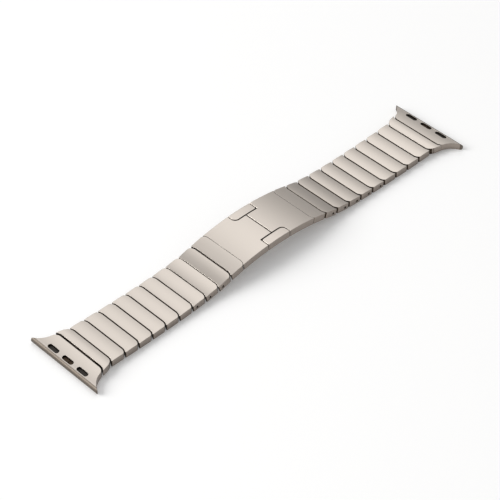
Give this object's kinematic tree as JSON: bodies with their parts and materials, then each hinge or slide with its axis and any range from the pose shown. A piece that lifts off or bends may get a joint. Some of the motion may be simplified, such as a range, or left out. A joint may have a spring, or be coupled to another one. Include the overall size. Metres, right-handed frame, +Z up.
{
  "type": "link watch bracelet",
  "caption": "Metal link watch bracelet laid out flat, with a two-wing folding clasp, side push buttons, removable links and flared slide-in ends for a watch case.",
  "frame": {"origin": "floor level under the middle of the clasp, with the bracelet laid out at rest", "axes": "+X along the bracelet towards its right end piece, +Y across it away from the near button, +Z up"},
  "size_m": [0.1514, 0.028, 0.007],
  "materials": {
    "brushed_metal": "fine satin brushing",
    "inner_metal": "satin",
    "pin_steel": "turned",
    "pad_rubber": "matte"
  },
  "bodies": {
    "base": {"clasp_base": "inner_metal", "button_springs": "pin_steel", "left_arm_pin": "pin_steel", "right_arm_pin": "pin_steel"},
    "button_near": {"clasp_button_near": "brushed_metal"},
    "button_far": {"clasp_button_far": "brushed_metal"},
    "left_arm": {"left_arm": "inner_metal", "left_cover_pin": "pin_steel"},
    "left_wing": {"left_cover": "brushed_metal", "left_cover_end": "brushed_metal"},
    "left_link_10": {"left_link_10": "brushed_metal", "left_pin_10": "pin_steel"},
    "left_link_9": {"left_link_9": "brushed_metal", "left_pin_9": "pin_steel"},
    "left_link_8": {"left_link_8": "brushed_metal", "left_pin_8": "pin_steel"},
    "left_link_7": {"left_link_7": "brushed_metal"},
    "left_link_6": {"left_link_6": "brushed_metal"},
    "left_link_5": {"left_link_5": "brushed_metal"},
    "left_link_4": {"left_link_4": "brushed_metal"},
    "left_link_3": {"left_link_3": "brushed_metal"},
    "left_link_2": {"left_link_2": "brushed_metal"},
    "left_link_1": {"left_link_1": "brushed_metal"},
    "left_end": {"left_end_piece": "brushed_metal", "left_detent_spring": "pin_steel", "left_lug_pads": "pad_rubber"},
    "left_release_10": {"left_release_10": "inner_metal"},
    "left_release_9": {"left_release_9": "inner_metal"},
    "left_release_8": {"left_release_8": "inner_metal"},
    "left_detent": {"left_detent": "pin_steel"},
    "right_arm": {"right_arm": "inner_metal", "right_cover_pin": "pin_steel"},
    "right_wing": {"right_cover": "brushed_metal", "right_cover_end": "brushed_metal"},
    "right_link_10": {"right_link_10": "brushed_metal", "right_pin_10": "pin_steel"},
    "right_link_9": {"right_link_9": "brushed_metal", "right_pin_9": "pin_steel"},
    "right_link_8": {"right_link_8": "brushed_metal", "right_pin_8": "pin_steel"},
    "right_link_7": {"right_link_7": "brushed_metal", "right_pin_7": "pin_steel"},
    "right_link_6": {"right_link_6": "brushed_metal", "right_pin_6": "pin_steel"},
    "right_link_5": {"right_link_5": "brushed_metal"},
    "right_link_4": {"right_link_4": "brushed_metal"},
    "right_link_3": {"right_link_3": "brushed_metal"},
    "right_link_2": {"right_link_2": "brushed_metal"},
    "right_link_1": {"right_link_1": "brushed_metal"},
    "right_end": {"right_end_piece": "brushed_metal", "right_detent_spring": "pin_steel", "right_lug_pads": "pad_rubber"},
    "right_release_10": {"right_release_10": "inner_metal"},
    "right_release_9": {"right_release_9": "inner_metal"},
    "right_release_8": {"right_release_8": "inner_metal"},
    "right_release_7": {"right_release_7": "inner_metal"},
    "right_release_6": {"right_release_6": "inner_metal"},
    "right_detent": {"right_detent": "pin_steel"}
  },
  "joints": [
    {"name": "button_near_press", "type": "slide", "parent": "base", "child": "button_near", "axis": [0, 1, 0], "range_m": [0, 0.0003], "stiffness_N_per_m": 1500, "springref_m": -0.0004},
    {"name": "button_far_press", "type": "slide", "parent": "base", "child": "button_far", "axis": [0, -1, 0], "range_m": [0, 0.0003], "stiffness_N_per_m": 1500, "springref_m": -0.0004},
    {"name": "left_arm_fold", "type": "hinge", "parent": "base", "child": "left_arm", "pos_m": [-0.0128, 0, 0.00419], "axis": [0, -1, 0], "range_deg": [0, 140]},
    {"name": "left_wing_fold", "type": "hinge", "parent": "left_arm", "child": "left_wing", "pos_m": [-0.0009, 0, 0.00591], "axis": [0, 1, 0], "range_deg": [0, 140]},
    {"name": "left_link_10_hinge", "type": "hinge", "parent": "left_wing", "child": "left_link_10", "pos_m": [-0.01777, 0, 0.00368], "axis": [0, -1, 0], "range_deg": [-8.6, 23.9]},
    {"name": "left_link_9_hinge", "type": "hinge", "parent": "left_link_10", "child": "left_link_9", "pos_m": [-0.02279, 0, 0.0024], "axis": [0, -1, 0], "range_deg": [-1.3, 31.2]},
    {"name": "left_link_8_hinge", "type": "hinge", "parent": "left_link_9", "child": "left_link_8", "pos_m": [-0.02791, 0, 0.00167], "axis": [0, -1, 0], "range_deg": [-4, 28.5]},
    {"name": "left_link_7_hinge", "type": "hinge", "parent": "left_link_8", "child": "left_link_7", "pos_m": [-0.03308, 0, 0.00126], "axis": [0, -1, 0], "range_deg": [-5.4, 27.1]},
    {"name": "left_link_6_hinge", "type": "hinge", "parent": "left_link_7", "child": "left_link_6", "pos_m": [-0.03825, 0, 0.00104], "axis": [0, -1, 0], "range_deg": [-6.2, 26.3]},
    {"name": "left_link_5_hinge", "type": "hinge", "parent": "left_link_6", "child": "left_link_5", "pos_m": [-0.04343, 0, 0.00094], "axis": [0, -1, 0], "range_deg": [-6.6, 25.9]},
    {"name": "left_link_4_hinge", "type": "hinge", "parent": "left_link_5", "child": "left_link_4", "pos_m": [-0.04861, 0, 0.00091], "axis": [0, -1, 0], "range_deg": [-6.7, 25.8]},
    {"name": "left_link_3_hinge", "type": "hinge", "parent": "left_link_4", "child": "left_link_3", "pos_m": [-0.05379, 0, 0.00096], "axis": [0, -1, 0], "range_deg": [-6.7, 25.8]},
    {"name": "left_link_2_hinge", "type": "hinge", "parent": "left_link_3", "child": "left_link_2", "pos_m": [-0.05897, 0, 0.00108], "axis": [0, -1, 0], "range_deg": [-6.6, 25.9]},
    {"name": "left_link_1_hinge", "type": "hinge", "parent": "left_link_2", "child": "left_link_1", "pos_m": [-0.06415, 0, 0.00127], "axis": [0, -1, 0], "range_deg": [-6.5, 26]},
    {"name": "left_end_hinge", "type": "hinge", "parent": "left_link_1", "child": "left_end", "pos_m": [-0.06809, 0, 0.00149], "axis": [0, -1, 0], "range_deg": [-14, 18.5]},
    {"name": "left_release_10_press", "type": "slide", "parent": "left_link_10", "child": "left_release_10", "axis": [-0.247, 0, 0.969], "range_m": [0, 0.00025], "stiffness_N_per_m": 1500, "springref_m": -0.0003},
    {"name": "left_release_9_press", "type": "slide", "parent": "left_link_9", "child": "left_release_9", "axis": [-0.1404, 0, 0.9901], "range_m": [0, 0.00025], "stiffness_N_per_m": 1500, "springref_m": -0.0003},
    {"name": "left_release_8_press", "type": "slide", "parent": "left_link_8", "child": "left_release_8", "axis": [-0.0789, 0, 0.9969], "range_m": [0, 0.00025], "stiffness_N_per_m": 1500, "springref_m": -0.0003},
    {"name": "left_detent_press", "type": "slide", "parent": "left_end", "child": "left_detent", "axis": [0.0577, 0, -0.9983], "range_m": [0, 0.0003], "stiffness_N_per_m": 1000, "springref_m": -0.0003},
    {"name": "right_arm_fold", "type": "hinge", "parent": "base", "child": "right_arm", "pos_m": [0.0128, 0, 0.00419], "axis": [0, 1, 0], "range_deg": [0, 140]},
    {"name": "right_wing_fold", "type": "hinge", "parent": "right_arm", "child": "right_wing", "pos_m": [0.0009, 0, 0.00591], "axis": [0, -1, 0], "range_deg": [0, 140]},
    {"name": "right_link_10_hinge", "type": "hinge", "parent": "right_wing", "child": "right_link_10", "pos_m": [0.01777, 0, 0.00368], "axis": [0, 1, 0], "range_deg": [-8.6, 23.9]},
    {"name": "right_link_9_hinge", "type": "hinge", "parent": "right_link_10", "child": "right_link_9", "pos_m": [0.02279, 0, 0.0024], "axis": [0, 1, 0], "range_deg": [-1.3, 31.2]},
    {"name": "right_link_8_hinge", "type": "hinge", "parent": "right_link_9", "child": "right_link_8", "pos_m": [0.02791, 0, 0.00167], "axis": [0, 1, 0], "range_deg": [-4, 28.5]},
    {"name": "right_link_7_hinge", "type": "hinge", "parent": "right_link_8", "child": "right_link_7", "pos_m": [0.03308, 0, 0.00126], "axis": [0, 1, 0], "range_deg": [-5.4, 27.1]},
    {"name": "right_link_6_hinge", "type": "hinge", "parent": "right_link_7", "child": "right_link_6", "pos_m": [0.03825, 0, 0.00104], "axis": [0, 1, 0], "range_deg": [-6.2, 26.3]},
    {"name": "right_link_5_hinge", "type": "hinge", "parent": "right_link_6", "child": "right_link_5", "pos_m": [0.04343, 0, 0.00094], "axis": [0, 1, 0], "range_deg": [-6.6, 25.9]},
    {"name": "right_link_4_hinge", "type": "hinge", "parent": "right_link_5", "child": "right_link_4", "pos_m": [0.04861, 0, 0.00091], "axis": [0, 1, 0], "range_deg": [-6.7, 25.8]},
    {"name": "right_link_3_hinge", "type": "hinge", "parent": "right_link_4", "child": "right_link_3", "pos_m": [0.05379, 0, 0.00096], "axis": [0, 1, 0], "range_deg": [-6.7, 25.8]},
    {"name": "right_link_2_hinge", "type": "hinge", "parent": "right_link_3", "child": "right_link_2", "pos_m": [0.05897, 0, 0.00108], "axis": [0, 1, 0], "range_deg": [-6.6, 25.9]},
    {"name": "right_link_1_hinge", "type": "hinge", "parent": "right_link_2", "child": "right_link_1", "pos_m": [0.06415, 0, 0.00127], "axis": [0, 1, 0], "range_deg": [-6.5, 26]},
    {"name": "right_end_hinge", "type": "hinge", "parent": "right_link_1", "child": "right_end", "pos_m": [0.06809, 0, 0.00149], "axis": [0, 1, 0], "range_deg": [-14, 18.5]},
    {"name": "right_release_10_press", "type": "slide", "parent": "right_link_10", "child": "right_release_10", "axis": [0.247, 0, 0.969], "range_m": [0, 0.00025], "stiffness_N_per_m": 1500, "springref_m": -0.0003},
    {"name": "right_release_9_press", "type": "slide", "parent": "right_link_9", "child": "right_release_9", "axis": [0.1404, 0, 0.9901], "range_m": [0, 0.00025], "stiffness_N_per_m": 1500, "springref_m": -0.0003},
    {"name": "right_release_8_press", "type": "slide", "parent": "right_link_8", "child": "right_release_8", "axis": [0.0789, 0, 0.9969], "range_m": [0, 0.00025], "stiffness_N_per_m": 1500, "springref_m": -0.0003},
    {"name": "right_release_7_press", "type": "slide", "parent": "right_link_7", "child": "right_release_7", "axis": [0.0428, 0, 0.9991], "range_m": [0, 0.00025], "stiffness_N_per_m": 1500, "springref_m": -0.0003},
    {"name": "right_release_6_press", "type": "slide", "parent": "right_link_6", "child": "right_release_6", "axis": [0.0203, 0, 0.9998], "range_m": [0, 0.00025], "stiffness_N_per_m": 1500, "springref_m": -0.0003},
    {"name": "right_detent_press", "type": "slide", "parent": "right_end", "child": "right_detent", "axis": [-0.0577, 0, -0.9983], "range_m": [0, 0.0003], "stiffness_N_per_m": 1000, "springref_m": -0.0003}
  ],
  "couplings": [
    {"joint": "left_wing_fold", "follows": "left_arm_fold", "ratio": 1},
    {"joint": "right_wing_fold", "follows": "right_arm_fold", "ratio": 1}
  ]
}
